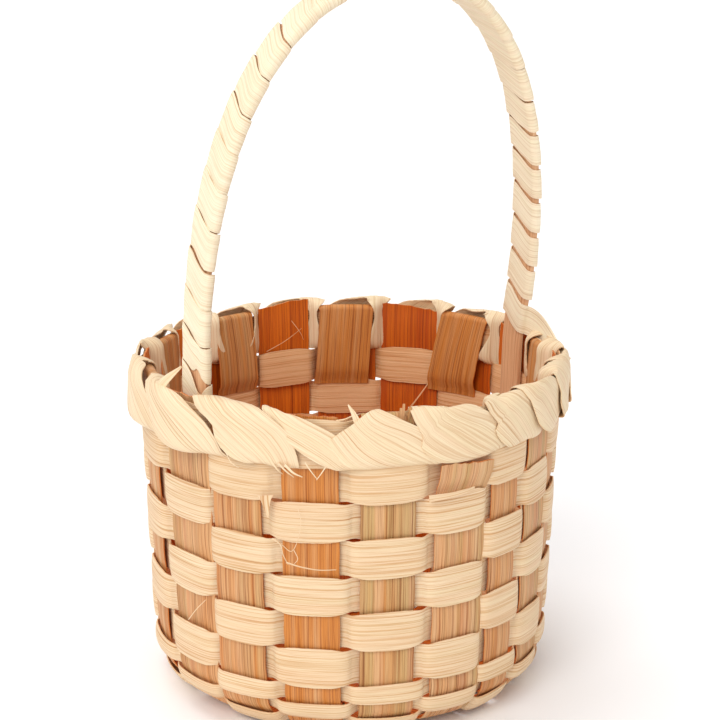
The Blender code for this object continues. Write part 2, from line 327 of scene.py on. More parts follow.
def wood(name, light, deep, inner_light, inner_deep, streak, lines, line_colour,
         roughness, bump, cast_strength=0.4, pink_cast=(1.0, 0.93, 0.90),
         green_cast=(0.95, 1.0, 0.93), bands_per_metre=620):
    """Split wood: long streaks of colour, fine grain lines, small knots and a fibrous bump."""
    material = bpy.data.materials.new(name)
    material.use_nodes = True
    nodes = Nodes(material)
    shader = nodes.tree.nodes["Principled BSDF"]
    uv = nodes.tree.nodes.new("ShaderNodeUVMap")
    uv.uv_map = "grain"
    split = nodes.add("ShaderNodeSeparateXYZ", Vector=uv.outputs[0])
    nodes.u, nodes.v = split.outputs[0], split.outputs[1]
    inner = nodes.tree.nodes.new("ShaderNodeAttribute")
    inner.attribute_name = "inner"
    tone = nodes.tree.nodes.new("ShaderNodeAttribute")
    tone.attribute_name = "tone"
    bands = nodes.noise(5, bands_per_metre, rough=0.6, twist=0.2)
    fine = nodes.noise(70, 3900, shift=4.0, rough=0.6, twist=0.2)
    slow = nodes.noise(22, 90, shift=8.0, detail=1.0)
    threads = nodes.noise(24, 2300, shift=12.0, rough=0.6, twist=0.2)
    seams = nodes.noise(7, 1300, shift=20.0, detail=1.0, twist=0.1)
    bands = nodes.math("MULTIPLY", nodes.math("SUBTRACT", bands, 0.5), streak)
    slow = nodes.math("MULTIPLY", nodes.math("SUBTRACT", slow, 0.5), 0.5)
    depth = nodes.math("ADD", bands, nodes.math("SUBTRACT", tone.outputs["Fac"], 0.5))
    depth = nodes.math("ADD", depth, slow)
    depth = nodes.remap(nodes.math("ADD", depth, 0.5), 0.0, 1.0)
    outside = nodes.mix(depth, light, deep)
    # The inner faces get their own deeper, more orange colours. These are partly the wood's own
    # inner face and partly painted shade, plus painted glow of light shining through the thin wood.
    inside = nodes.mix(depth, inner_light, inner_deep)
    pale_only = nodes.remap(tone.outputs["Fac"], 0.35, 0.9, cast_strength, 0.0)
    for shift, cast_colour in ((16.0, pink_cast), (24.0, green_cast)):
        cast = nodes.noise(3, bands_per_metre * 0.6, shift, detail=1.0)
        cast = nodes.math("MULTIPLY", nodes.remap(cast, 0.48, 0.64), pale_only)
        outside = nodes.mix(cast, outside, cast_colour, "MULTIPLY")
    colour = nodes.mix(inner.outputs["Fac"], outside, inside)
    grain = nodes.math("MULTIPLY", nodes.remap(threads, 0.47, 0.66), lines)
    colour = nodes.mix(grain, colour, line_colour, "MULTIPLY")
    seam = nodes.math("MULTIPLY", nodes.remap(seams, 0.62, 0.68), lines)
    colour = nodes.mix(seam, colour, line_colour, "MULTIPLY")
    colour = nodes.mix(nodes.remap(fine, 0.38, 0.70, 0.0, 0.30), colour, line_colour, "MULTIPLY")
    knots = nodes.add("ShaderNodeTexVoronoi", Vector=nodes.stretched(75, 150, 2.0), Scale=1.0,
                      Randomness=1.0)
    chosen = nodes.add("ShaderNodeSeparateColor", Color=knots.outputs["Color"])
    few = nodes.math("GREATER_THAN", chosen.outputs[0], 1 - KNOT_CHANCE)
    spot = nodes.math("MULTIPLY", nodes.remap(knots.outputs["Distance"], 0.03, 0.075, 1, 0), few)
    colour = nodes.mix(nodes.math("MULTIPLY", spot, 0.75), colour, KNOT_COLOUR)
    nodes.tree.links.new(colour, shader.inputs["Base Color"])
    height = nodes.math("ADD", nodes.math("MULTIPLY", fine, 0.6),
                        nodes.math("MULTIPLY", threads, 0.8))
    relief = nodes.add("ShaderNodeBump", Height=height, Strength=bump, Distance=GRAIN_DEPTH)
    nodes.tree.links.new(relief.outputs[0], shader.inputs["Normal"])
    gloss = nodes.remap(fine, 0.2, 0.8, roughness - 0.08, roughness + 0.12)
    nodes.tree.links.new(gloss, shader.inputs["Roughness"])
    shader.inputs["Specular IOR Level"].default_value = 0.35
    return material


# The inner_light and inner_deep colours hold the wood's own inner tone plus painted shade and
# painted glow of light through the thin wood. This is strongest on the stakes.
STAKE = wood("stake_splint", light=(0.76, 0.51, 0.28), deep=(0.64, 0.235, 0.045),
             inner_light=(0.92, 0.24, 0.012), inner_deep=(0.56, 0.09, 0.002),
             streak=1.4, lines=0.8, line_colour=(0.56, 0.40, 0.28), roughness=0.55, bump=0.5,
             cast_strength=0.9, pink_cast=(0.94, 0.82, 0.84), green_cast=(0.82, 0.95, 0.82),
             bands_per_metre=420)
HOOP = wood("weaver_splint", light=(0.86, 0.69, 0.47), deep=(0.77, 0.54, 0.32),
            inner_light=(0.92, 0.62, 0.36), inner_deep=(0.82, 0.45, 0.21),
            streak=0.8, lines=0.85, line_colour=(0.76, 0.57, 0.39), roughness=0.5, bump=0.5)
LASH = wood("lashing_splint", light=(0.91, 0.76, 0.53), deep=(0.85, 0.65, 0.42),
            inner_light=(0.92, 0.70, 0.45), inner_deep=(0.84, 0.55, 0.30),
            streak=0.6, lines=0.6, line_colour=(0.72, 0.55, 0.40), roughness=0.48, bump=0.5)
WRAP = wood("wrapping_splint", light=(0.96, 0.87, 0.67), deep=(0.89, 0.74, 0.52),
            inner_light=(0.90, 0.68, 0.44), inner_deep=(0.80, 0.53, 0.29),
            streak=0.6, lines=0.5, line_colour=(0.74, 0.60, 0.45), roughness=0.48, bump=0.45)
CORE = wood("core_strip", light=(0.86, 0.56, 0.33), deep=(0.70, 0.36, 0.17),
            inner_light=(0.86, 0.56, 0.33), inner_deep=(0.70, 0.36, 0.17),
            streak=0.8, lines=0.6, line_colour=(0.66, 0.46, 0.33), roughness=0.55, bump=0.4)


# ---- uprights and base --------------------------------------------------------------------
FOLD_RADIUS = 0.0016         # where an upright folds inward over the rim
FLAP_LENGTH = 0.0275
FLAP_STEPS = 13
FOLD_STEPS = 9
WALL_STEPS = 56
CORNER_STEPS = 14
FAN_STEPS = 9
PLAIT_STEPS = 10             # for each crossing
NEAR_RIM = 0.0002            # folds begin just under the rim
SWAY = 0.0003                # how far an upright gives way to a hoop
RAGGED = 0.00022             # roughness of the strips' edges
# Height above the rim and slant of the cut ends that show most.
CUT_ENDS = {12: (0.0024, -0.0013), 10: (0.0012, 0.0008), 2: (-0.0162, -0.0011)}
BROKEN_UPRIGHT = 2           # this one is broken off below the rim, and its end stands out
BREAK = 0.0185
BREAK_LIFT = 0.0026


def sway(index, down):
    """How far an upright gives way to the hoops that pass it."""
    for row in range(ROWS):
        upper, lower = row_span(row)
        if upper <= down <= lower:
            within = math.sin(math.pi * (down - upper) / (lower - upper))
            return -SWAY * hoop_side(index, row) * within
    return 0.0


def across_upright(index, down, out=0.0, drift=0.0, lift=None, narrow=1.0):
    """One row of points across an upright."""
    half = upright_half(index, profile(down)[0]) * narrow
    angle = upright_angle(index) + drift / TOP_RADIUS
    row = []
    for step in range(ACROSS):
        place = step / (ACROSS - 1) * 2 - 1
        edge = RAGGED * wander(index + 3.3, down * 260, place * 2) * abs(place) ** 3
        point = on_wall(down, angle + place * half + edge / TOP_RADIUS,
                        out + 0.00012 * wander(index, down * 90, place * 1.5))
        if lift:
            point.z += lift(place)
        row.append(point)
    return row


def frayed(index):
    """Height of the cut end of an upright above the rim, from one edge to the other."""
    rise, slant = CUT_ENDS.get(index, (0.0008, 0.0012 * wander(index + 9.1, 0.3)))
    return lambda place: (rise + slant * place + 0.0006 * wander(index, place * 9, 2.0)
                          + 0.0011 * abs(wander(index, place * 31, 5.0)))


def end_lift(index, down):
    """The broken upright's end stands off the wall."""
    return BREAK_LIFT * ease((0.027 - down) / 0.009) if index == BROKEN_UPRIGHT else 0.0


def upright_rows(index):
    """Rows of points for one upright, from its tip down to the edge of the base."""
    rows = []
    if index % 2:
        slant = FLAP_SLANTS.get(index, 0.0)
        length = FLAP_LENGTH + 0.002 * wander(index, 4.4)
        for step in range(FLAP_STEPS + 1):
            t = step / FLAP_STEPS
            down = length * (1 - t)
            out = -2 * FOLD_RADIUS - 0.0011 * math.sin(math.pi * (1 - t) * 0.8)
            tuck = 0.0018 * ease((down - 0.0225) / 0.004)
            rows.append(across_upright(index, max(down, NEAR_RIM), out + tuck, slant * (1 - t),
                                       narrow=0.97))
        for step in range(1, FOLD_STEPS):
            bend = math.pi * step / FOLD_STEPS
            rise = FOLD_RADIUS * 0.9 * math.sin(bend)
            out = -FOLD_RADIUS * (1 + math.cos(bend))
            rows.append(across_upright(index, NEAR_RIM, out, lift=lambda place, rise=rise: rise))
    else:
        rows.append(across_upright(index, 0.0, end_lift(index, 0.0), lift=frayed(index)))
    begin = BREAK if index == BROKEN_UPRIGHT else 0.0004
    for step in range(index % 2, WALL_STEPS + 1):
        down = begin + (WALL_LENGTH - begin) * step / WALL_STEPS
        rows.append(across_upright(index, down, sway(index, down) + end_lift(index, down)))
    for step in range(1, CORNER_STEPS + 1):
        down = WALL_LENGTH + CORNER_LENGTH * step / CORNER_STEPS
        rows.append(across_upright(index, down, sway(index, down)))
    return rows


def across_base(middle, side, half):
    """One row of points across a stake where it lies flat."""
    return [middle + side * half * (place / (ACROSS // 2) - 1) for place in range(ACROSS)]


def fan_rows(index, end, heading):
    """From the edge of the plait out to the corner, under one upright."""
    angle = upright_angle(index)
    radial = Vector((math.cos(angle), math.sin(angle), 0))
    start = radial * BASE_RADIUS
    reach = (start - end).length
    half_out = upright_half(index, BASE_RADIUS) * BASE_RADIUS
    rows = []
    for step in range(1, FAN_STEPS):
        t = step / FAN_STEPS
        middle = bend_between(end, heading * reach, start, radial * reach, t)
        direction = (heading * (1 - t) + radial * t).normalized()
        side = Vector((-direction.y, direction.x, 0))
        half = PLAIT_WIDTH / 2 * (1 - t) + half_out * t
        middle.z = BASE_LEVEL
        rows.append(across_base(middle, side, half))
    return rows


def plait_rows(lane, group, heading, side):
    """The stake's way under and over the five that cross it."""
    rows = []
    half = PLAIT_WIDTH / 2
    for crossing in range(2, -3, -1):
        over = 1 if (crossing + lane + group) % 2 else -1
        for step in range(PLAIT_STEPS):
            t = 0.5 - (step + 0.5) / PLAIT_STEPS
            fall = abs(math.cos(math.pi * t)) ** 0.5
            middle = heading * (crossing + t) * PLAIT_PITCH + side * lane * PLAIT_PITCH
            middle.z = BASE_LEVEL + PLAIT_LEVEL * over * fall
            rows.append(across_base(middle, side, half))
    return rows


def make_stake(number):
    """Five stakes cross five others; each one makes two uprights."""
    group, lane = divmod(number, 5)
    first = (2 + lane) if group == 0 else (7 + lane)
    second = (16 - lane) if group == 0 else (1 - lane) % UPRIGHTS
    lane -= 2
    turn = PLAIT_ANGLE - (math.pi / 2 if group == 0 else 0)
    heading = Vector((math.cos(turn), math.sin(turn), 0))
    side = Vector((-heading.y, heading.x, 0))
    reach = 2.5 * PLAIT_PITCH
    ends = [heading * sign * reach + side * lane * PLAIT_PITCH for sign in (1, -1)]
    rows = upright_rows(first)
    rows += reversed(fan_rows(first, ends[0], heading))
    rows += plait_rows(lane, group, heading, side)
    far = fan_rows(second, ends[1], -heading) + list(reversed(upright_rows(second)))
    rows += [list(reversed(row)) for row in far]
    piece = strip(f"stake_splint_{number + 1:02d}", rows, STAKE, tone=STAKE_TONES[number],
                  seed=number + 1.0)
    finish(piece, f"stake_{number + 1:02d}")


def finish(piece, node):
    """Every splint belongs to the one body and stands for its own node."""
    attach(piece, "root")
    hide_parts(node)


# ---- hoops --------------------------------------------------------------------------------
HOOP_STEPS = 720
HOOP_ACROSS = 9
WEAVE_ROUND = 0.10           # less makes a hoop change sides more sharply
JOINT_STEP = 0.0012          # the last end lies inside the first


def weave(row, angle):
    """Where a hoop lies at an angle: outward reach, and how near it is to changing sides."""
    turns = math.floor((angle - upright_angle(0)) / (2 * math.pi))
    index = turns * UPRIGHTS
    while upright_angle(index + 1) <= angle:
        index += 1
    low, high = upright_angle(index), upright_angle(index + 1)
    t = (angle - low) / (high - low)
    swing = math.cos(math.pi * t)
    reach = swing / math.sqrt(swing * swing + WEAVE_ROUND) * 1.05 * hoop_side(index, row)
    return reach, abs(t - 0.5)


def make_hoop(row):
    """Once round and a little further, so that the two ends overlap behind an upright."""
    upper, lower = row_span(row)
    joint = (5 + 7 * row) % UPRIGHTS
    if hoop_side(joint, row) == 1:
        joint += 1
    start = upright_angle(joint) - upright_half(joint) * 1.05
    end = upright_angle(joint + UPRIGHTS) + upright_half(joint) * 1.1
    middle = (upper + lower) / 2
    half = (lower - upper) / 2
    spread = ROW_OVERLAP if row < WALL_ROWS else 0.2 * ROW_OVERLAP
    rows = []
    for step in range(HOOP_STEPS + 1):
        angle = start + (end - start) * step / HOOP_STEPS
        reach, near = weave(row, angle)
        beat = angle * 3.1
        out = WEAVE_REACH * reach * (1 + 0.35 * wander(row, beat))
        if step > HOOP_STEPS * 0.5:
            gap = upright_angle(joint + UPRIGHTS) - angle
            out -= JOINT_STEP * ease(1 - (gap - upright_half(joint) * 0.9) / math.radians(4))
        crossing = bell(near, 0.16)
        breadth = half + spread * (1 - 1.5 * crossing) + 0.0002 * wander(row + 0.5, beat * 1.7)
        tilt = 0.00040 * wander(row + 31.0, beat * 0.9)
        shift = 0.00025 * wander(row + 11.0, beat * 0.7) + ROW_TILT * math.sin(angle - LEVEL_SIDE)
        line = []
        for place in range(HOOP_ACROSS):
            v = place / (HOOP_ACROSS - 1) * 2 - 1
            ragged = 0.00010 * wander(row + 57.0, angle * 60, v * 3) * abs(v) ** 4
            down = middle + shift + v * breadth + ragged
            bow = 0.00022 * (1 - v * v) * (1 if reach > 0 else -1)
            line.append(on_wall(down, angle, out + tilt * v + bow))
        rows.append(line)
    piece = strip(f"weaver_splint_{row + 1:02d}", rows, HOOP, flip=True,
                  tone=0.45 + 0.3 * wander(row, 3.3), seed=row + 21.0)
    finish(piece, f"weaver_{row + 1:02d}")


# ---- rim lashing --------------------------------------------------------------------------
RIM_LENGTH = 0.040           # once round the top hoop
LASH_WIDTH = 0.0142
LASH_THICKNESS = 0.0006
LASH_OUTSIDE = 0.0028        # how far outside the wall the lashing lies
LASH_STEPS = 36              # for each turn
LASH_TILT = 0.0011           # each turn's leading edge lies under the next one
# Share of a turn from its start above the rim.
MIDDLE_OUTSIDE = 0.14
AT_SLOT = 0.43
MIDDLE_INSIDE = 0.70
AT_TOP = 0.95
# Once round the top hoop: share of the way from the outer to the inner side, and down.
RIM_LOOP = ((0.00, 0.0004), (0.00, 0.0042), (0.00, 0.0090), (0.03, 0.0128), (0.30, 0.0146),
            (0.60, 0.0146), (0.93, 0.0126), (1.00, 0.0085), (1.00, 0.0038), (1.00, -0.0004),
            (0.72, -0.0024), (0.25, -0.0028))
# How much further than the rest some turns stand off the wall.
LOOSE_TURNS = {0: 0.0004, 3: 0.0004, 4: 0.0012, 5: 0.0018, 6: 0.0016, 7: 0.0010,
               16: 0.0024, 17: 0.0036, 18: 0.0022, 19: 0.0008}
# How much higher or lower than the rest some turns pass over the rim.
LOOSE_PEAKS = {0: 0.0002, 1: -0.0024, 2: -0.0014, 18: 0.0002, 19: -0.0026}
NARROW_INSIDE = (7, 8, 9, 10, 11, 13)
# How broad, smooth and low the turns lie, from 0 to 1.
FLAT_TURNS = {0: 0.5, 1: 1.0, 2: 0.7, 3: 0.6, 4: 0.9, 5: 0.7, 6: 0.4, 18: 0.3, 19: 0.4}
# Turns that lie to one side of their gap, in degrees, and those unlike the rest in width.
SHIFTED_TURNS = {0: -6.5, 1: -2.0, 17: 2.5, 18: 6.5, 19: 3.0}
TURN_WIDTHS = {0: 1.15, 19: 0.42}


def smooth_path(points, share):
    """A point on a closed smooth curve through points, by share of the way round."""
    count = len(points)
    place = share % 1.0 * count
    base = int(place)
    t = place - base
    around = [points[(base + k) % count] for k in (-1, 0, 1, 2)]
    return [pass_through(a, b, c, d, t) for a, b, c, d in zip(*around)]


def inner_reach(angle):
    """Inside, the lashing passes behind flush uprights and over folded ones."""
    return -0.0018 + 0.00275 * weave(0, angle)[0]


def gap_angle(index):
    """The middle of the gap between an upright and the next."""
    upright, following = upright_angle(index), upright_angle(index + 1)
    return (upright + upright_half(index) + following - upright_half(index + 1)) / 2


def lash_centre(place):
    """Share round the loop and angle, for a place counted in turns along the lashing."""
    turn = math.floor(place)
    t = place - turn
    start, end = gap_angle(turn), gap_angle(turn + 1)
    swing = ease((t + 0.14) / 0.50) - 1 + (ease((t - 0.86) / 0.50) if t > 0.5 else 0.0)
    loose = 0.07 * wander(15.0, place * 2.3) * bell(t - 0.1, 0.25)
    outer = math.floor(place + 0.25)
    aside = SHIFTED_TURNS.get(outer % UPRIGHTS, 0.0) * bell(place - outer - 0.13, 0.19)
    return t, end + (end - start) * (swing + loose) + math.radians(aside)


def blend_turns(table, place):
    """A value given for whole turns, made smooth between them."""
    turn = math.floor(place)
    t = ease((place - turn - 0.3) / 0.4)
    low, high = table.get(turn % UPRIGHTS, 0.0), table.get((turn + 1) % UPRIGHTS, 0.0)
    return low * (1 - t) + high * t


def lash_width(place, flat):
    """Narrower at the slot, inside and over the rim, and different from turn to turn."""
    t = place % 1.0
    turn = math.floor(place + 0.25)
    hidden = 0.85 if math.floor(place) % UPRIGHTS in NARROW_INSIDE else 0.62
    gather = 0.36 - 0.24 * flat
    squeeze = 1 - 0.46 * bell(t - AT_SLOT, 0.05) - hidden * bell(t - MIDDLE_INSIDE, 0.20)
    squeeze -= gather * (bell(t - 0.96, 0.055) + bell(t + 0.04, 0.055))
    pitch = (gap_angle(turn + 1) - gap_angle(turn)) / (2 * math.pi / UPRIGHTS)
    width = LASH_WIDTH * min(1.2, max(1.0, pitch)) * (1 + 0.2 * wander(turn + 0.3, 1.1))
    return width * (max(squeeze, 0.12) * (1 + 0.22 * flat) * TURN_WIDTHS.get(turn % UPRIGHTS, 1.0))


def make_lashing():
    rows = []
    for step in range(LASH_STEPS * UPRIGHTS - 8):
        place = step / LASH_STEPS
        share, angle = lash_centre(place)
        ahead = lash_centre(place + 0.01)[1]
        down_pace = 0.01 * RIM_LENGTH
        side_pace = (ahead - angle) * TOP_RADIUS
        pace = math.hypot(down_pace, side_pace)
        t = place % 1.0
        turn = math.floor(place + 0.25)
        outside = bell(t - MIDDLE_OUTSIDE, 0.21) + bell(t - MIDDLE_OUTSIDE - 1, 0.21)
        top = bell(t - AT_TOP, 0.10) + bell(t - AT_TOP + 1, 0.10)
        flat = FLAT_TURNS.get(turn % UPRIGHTS, 0.0)
        width = lash_width(place, flat)
        stand = 0.0008 + 0.0010 * max(0.0, wander(turn + 0.9, 6.3))
        stand += blend_turns(LOOSE_TURNS, place - 0.35)
        peak = 0.0007 + 0.0012 * wander(turn + 0.5, 2.9) * (1 - 0.6 * flat)
        peak += blend_turns(LOOSE_PEAKS, place - 0.45)
        cup = 0.0005 * wander(turn + 0.7, 8.8)
        line = []
        for step_across in range(ACROSS):
            v = step_across / (ACROSS - 1) * 2 - 1
            lateral = v * width / 2
            lateral += 0.0005 * wander(77.0, place * 6, v * 2) * abs(v) ** 3
            share_here = share - lateral * side_pace / pace / RIM_LENGTH
            angle_here = angle + lateral * down_pace / pace / TOP_RADIUS
            inward, down = smooth_path(RIM_LOOP, share_here)
            out = LASH_OUTSIDE + (inner_reach(angle_here) - LASH_OUTSIDE) * inward
            crease = 0.00045 * wander(9.0 + turn, v * 2.6, place * 1.3)
            crease += 0.00016 * wander(19.0, v * 9.0, place * 3.0)
            out += outside * (stand * 0.8 - (LASH_TILT - 0.0003 * flat) * v + crease
                              + cup * (v * v - 0.4) * (1 - flat))
            out += 0.0003 * wander(5.0, place * 4.1, v)
            down -= top * peak * (1 - 0.4 * v * v)
            line.append(on_wall(max(down, -0.02), angle_here, out))
        rows.append(line)
    piece = strip("lashing_splint", rows, LASH, tone=0.42, seed=41.0, thickness=LASH_THICKNESS)
    finish(piece, "rim_lashing")


# ---- handle -------------------------------------------------------------------------------
CORE_OUT = -0.0035           # the feet stand this far inside the wall's middle
FOOT_STEPS = 12
ARCH_STEPS = 160             # for each half of the arch
CORE_STEPS = 220
RIGHT_FOOT = on_wall(0, HANDLE_ANGLE, CORE_OUT)


def make_arch():
    """The middle line of the handle, from the left foot over to the right one."""
    outline = []
    spring = HEIGHT + HANDLE_SHOULDER
    rise = HANDLE_TOP - HANDLE_THICKNESS / 2 - spring
    half_span = RIGHT_FOOT.x + HANDLE_SPREAD
    straight = HANDLE_FOOT_DEPTH + HANDLE_SHOULDER
    for step in range(FOOT_STEPS + 1):
        height = HEIGHT - HANDLE_FOOT_DEPTH + straight * step / FOOT_STEPS
        inward = max(0, HEIGHT - height) * math.tan(WALL_LEAN)
        outward = HANDLE_SPREAD * max(0, height - HEIGHT) / HANDLE_SHOULDER
        outline.append((RIGHT_FOOT.x - inward + outward, height))
    for step in range(1, ARCH_STEPS + 1):
        turn = math.pi / 2 * step / ARCH_STEPS
        outline.append((half_span * math.cos(turn) ** (2 / HANDLE_ROUNDNESS),
                        spring + rise * math.sin(turn) ** (2 / HANDLE_ROUNDNESS)))
    points = []
    for x, z in [(-x, z) for x, z in outline] + outline[-2::-1]:
        lean = max(0, z - HEIGHT) * math.tan(HANDLE_LEAN)
        points.append((x, RIGHT_FOOT.y + lean, z))
    return np.array(points)


ARCH = make_arch()
ARCH_DISTANCE = np.concatenate([[0], np.cumsum(np.linalg.norm(np.diff(ARCH, axis=0), axis=1))])
ARCH_LENGTH = ARCH_DISTANCE[-1]


def along_arch(distance):
    """The point at a distance along the arch from the left foot."""
    return Vector([np.interp(distance, ARCH_DISTANCE, ARCH[:, axis]) for axis in range(3)])


def arch_frame(distance):
    """A point of the arch, with the directions across the strip and out of its face."""
    behind = along_arch(max(distance - 0.002, 0.0))
    ahead = along_arch(min(distance + 0.002, ARCH_LENGTH))
    tangent = (ahead - behind).normalized()
    outward = tangent.cross(Vector((0, -1, 0))).normalized()
    side = tangent.cross(outward)
    middle = along_arch(distance)
    twist = HANDLE_ANGLE * min(1, max(0, 1 - (middle.z - HEIGHT) / HANDLE_UNTWIST))
    return (middle, side * math.cos(twist) + outward * math.sin(twist),
            outward * math.cos(twist) - side * math.sin(twist))


def make_core():
    rows = []
    for step in range(CORE_STEPS + 1):
        middle, side, _ = arch_frame(ARCH_LENGTH * step / CORE_STEPS)
        rows.append([middle + side * HANDLE_WIDTH / 2 * (place / 4 - 1) for place in range(9)])
    piece = strip("handle_core_strip", rows, CORE, thickness=HANDLE_THICKNESS, seed=51.0,
                  thin=0.5)
    finish(piece, "handle_core")


WRAP_CLEAR = 0.0005          # from the core's faces to the middle of the wrapping
WRAP_CORNER = 0.0009
OUTLINE_STEPS = 240


def wrap_outline():
    """The rounded section that the wrapping follows, and the share of the way round."""
    wide, thick = HANDLE_WIDTH / 2 + WRAP_CLEAR, HANDLE_THICKNESS / 2 + WRAP_CLEAR
    corner = WRAP_CORNER
    outline = []
    for step in range(OUTLINE_STEPS):
        angle = 2 * math.pi * step / OUTLINE_STEPS
        quarter = (1 if math.cos(angle) >= 0 else -1, 1 if math.sin(angle) >= 0 else -1)
        reach = min((wide - corner) / max(abs(math.cos(angle)), 1e-6),
                    (thick - corner) / max(abs(math.sin(angle)), 1e-6))
        base = (reach * math.cos(angle), reach * math.sin(angle))
        flat = abs(base[0]) > wide - corner - 1e-9
        push = (quarter[0] * corner, 0) if flat else (0, quarter[1] * corner)
        outline.append((base[0] + push[0], base[1] + push[1]))
    outline = np.array(outline + outline[:1])
    steps = np.linalg.norm(np.diff(outline, axis=0), axis=1)
    share = np.concatenate([[0], np.cumsum(steps)])
    return outline, share / share[-1]


OUTLINE, OUTLINE_SHARE = wrap_outline()
WRAP_THICKNESS = 0.0005
WRAP_BEGIN = HANDLE_FOOT_DEPTH - 0.0060  # along the arch, a little below the rim
WRAP_STEPS = 48              # for each turn
WRAP_ACROSS = 9
WRAP_SWING = 0.055           # the strip runs steeper over the two broad faces
WRAP_FREE_STEPS = 16
WRAP_FREE = 0.030            # length of the loose end that reaches down to the rim
FREE_END = (0.0598, -0.0398)
WRAP_SLIT = 0.64             # turns along the wrapping to the slit above the left foot
SLIT_WIDTH = 0.075


def wrap_point(turn, shift, grow):
    """Point on the wrapping, after some turns, moved along the handle."""
    advance = turn + WRAP_SWING * math.sin(4 * math.pi * turn + math.pi)
    across = np.interp(turn % 1.0, OUTLINE_SHARE, OUTLINE[:, 0])
    out = np.interp(turn % 1.0, OUTLINE_SHARE, OUTLINE[:, 1])
    middle, side, outward = arch_frame(WRAP_BEGIN + advance * WRAP_PITCH + shift)
    round_out = Vector((across, out)).normalized() * grow
    return middle + side * (across + round_out.x) + outward * (out + round_out.y)


def make_wrap():
    end = ARCH_LENGTH - HANDLE_FOOT_DEPTH - 0.0020
    turns = int((end - WRAP_BEGIN) / WRAP_PITCH) + 0.5
    rows = []
    for step in range(int(turns * WRAP_STEPS) + 1):
        turn = step / WRAP_STEPS
        low_leg = ease((turn * WRAP_PITCH - (ARCH_LENGTH - 0.175)) / 0.05)
        width = WRAP_PITCH * (0.985 - 0.15 * low_leg + 0.05 * wander(61.0, turn * 0.8))
        drift = 0.0007 * wander(63.0, turn * 0.7)
        lift = 0.0002 + 0.0003 * max(0.0, wander(66.0, turn * 1.3))
        below = bell(turn - WRAP_SLIT, SLIT_WIDTH)
        above = bell(turn - WRAP_SLIT - 1, SLIT_WIDTH)
        lift += 0.0006 * below
        row = []
        for place in range(WRAP_ACROSS):
            v = place / (WRAP_ACROSS - 1) * 2 - 1
            edge = RAGGED * wander(62.0, turn * 9, v * 2) * abs(v) ** 3
            grow = 0.0002 + lift * v + 0.00012 * wander(64.0, turn * 5.0, v * 2)
            cut = 0.85 * below * max(0.0, v) + 0.6 * above * max(0.0, -v)
            row.append(wrap_point(turn, drift + edge + v * width / 2 * (1 - cut), grow))
        rows.append(row)
    rows += free_end(rows)
    piece = strip("handle_wrap_splint", rows, WRAP, thickness=WRAP_THICKNESS, flip=True,
                  tone=0.42, seed=71.0)
    finish(piece, "handle_wrap")


def free_end(rows):
    """The last of the wrapping, which leaves the leg and runs down under the rim lashing."""
    last, before = rows[-1], rows[-5]
    goal = Vector((*FREE_END, HEIGHT - 0.0040))
    more = []
    arrive = Vector((0.3, -0.9, -0.5)).normalized() * WRAP_FREE * 0.7
    for step in range(1, WRAP_FREE_STEPS + 1):
        row = []
        for place in range(WRAP_ACROSS):
            v = place / (WRAP_ACROSS - 1) * 2 - 1
            start = last[place]
            leave = (start - before[place]).normalized() * WRAP_FREE * 0.8
            end = goal + Vector((-0.0012, 0.0012, -0.0030)) * v * 1.1
            row.append(bend_between(start, leave, end, arrive, step / WRAP_FREE_STEPS))
        more.append(row)
    return more


# ---- loose fibres and splinters ------------------------------------------------------------
# Width at the start and at the tip, then places on the wall: angle in degrees from +X, and
# millimetres down from the rim and out from the wall.
WEAVER_FIBRES = (
    (0.35, 0.25, (-145.8, 38.6, 1.5), (-143.4, 40.0, 2.4), (-142.6, 43.0, 2.8), (-141.4, 46.0, 2.6)),
    (0.45, 0.20, (-141.9, 45.4, 2.6), (-138.0, 46.2, 3.2), (-133.5, 46.9, 3.0), (-129.4, 47.2, 1.6)),
    (0.25, 0.15, (-143.6, 39.6, 2.0), (-140.4, 41.4, 3.2), (-138.6, 37.0, 3.6), (-138.0, 31.5, 3.0),
     (-138.9, 27.6, 2.2)),
    (0.25, 0.15, (-139.8, 41.0, 3.0), (-138.8, 43.6, 3.2), (-139.8, 45.6, 2.6)),
    (5.20, 0.40, (-147.2, 24.6, 2.4), (-146.9, 26.6, 3.0), (-146.3, 31.2, 3.3)),
    (2.20, 0.90, (-106.0, 25.6, 2.2), (-101.0, 25.2, 2.8), (-96.5, 24.6, 3.0), (-93.4, 24.2, 2.6)),
    (0.30, 0.15, (-173.2, 73.0, 1.8), (-169.0, 67.5, 2.6), (-166.0, 63.6, 2.2)),
    (0.80, 0.25, (38.0, 42.0, -2.2), (32.0, 33.0, -4.6), (26.9, 24.0, -2.4)),
    (0.25, 0.12, (81.0, 14.2, -1.8), (75.0, 10.6, -3.2), (69.5, 6.6, -2.6)),
    (0.22, 0.12, (72.6, 3.6, -2.0), (70.0, 8.0, -2.8), (68.8, 11.0, -2.2)),
)
LASH_FIBRES = (
    (0.45, 0.25, (-136.6, 12.0, 4.6), (-135.2, 14.4, 5.0), (-133.9, 17.6, 3.2)),
    (0.40, 0.20, (-131.4, 12.6, 4.6), (-132.6, 15.0, 5.0), (-134.0, 17.8, 3.4)),
    (0.90, 0.20, (-141.6, 13.4, 4.2), (-139.4, 15.6, 4.6), (-137.4, 17.0, 3.8)),
    (0.70, 0.15, (-143.2, 13.2, 4.2), (-141.2, 15.4, 4.4), (-139.6, 17.4, 3.4)),
    (0.60, 0.15, (-145.0, 13.0, 4.0), (-143.4, 15.2, 4.2), (-142.4, 16.8, 3.2)),
    (0.35, 0.15, (-157.4, 11.6, 4.2), (-155.6, 14.6, 4.8), (-153.8, 16.4, 3.8)),
    (9.50, 0.60, (-184.0, 9.0, 3.6), (-182.6, 2.0, 4.6), (-180.0, -4.0, 3.4), (-176.4, -9.4, -0.6)),
    (2.60, 0.40, (-123.6, 1.4, 3.2), (-125.0, -2.6, 2.4), (-126.4, -5.2, 1.2)),
)
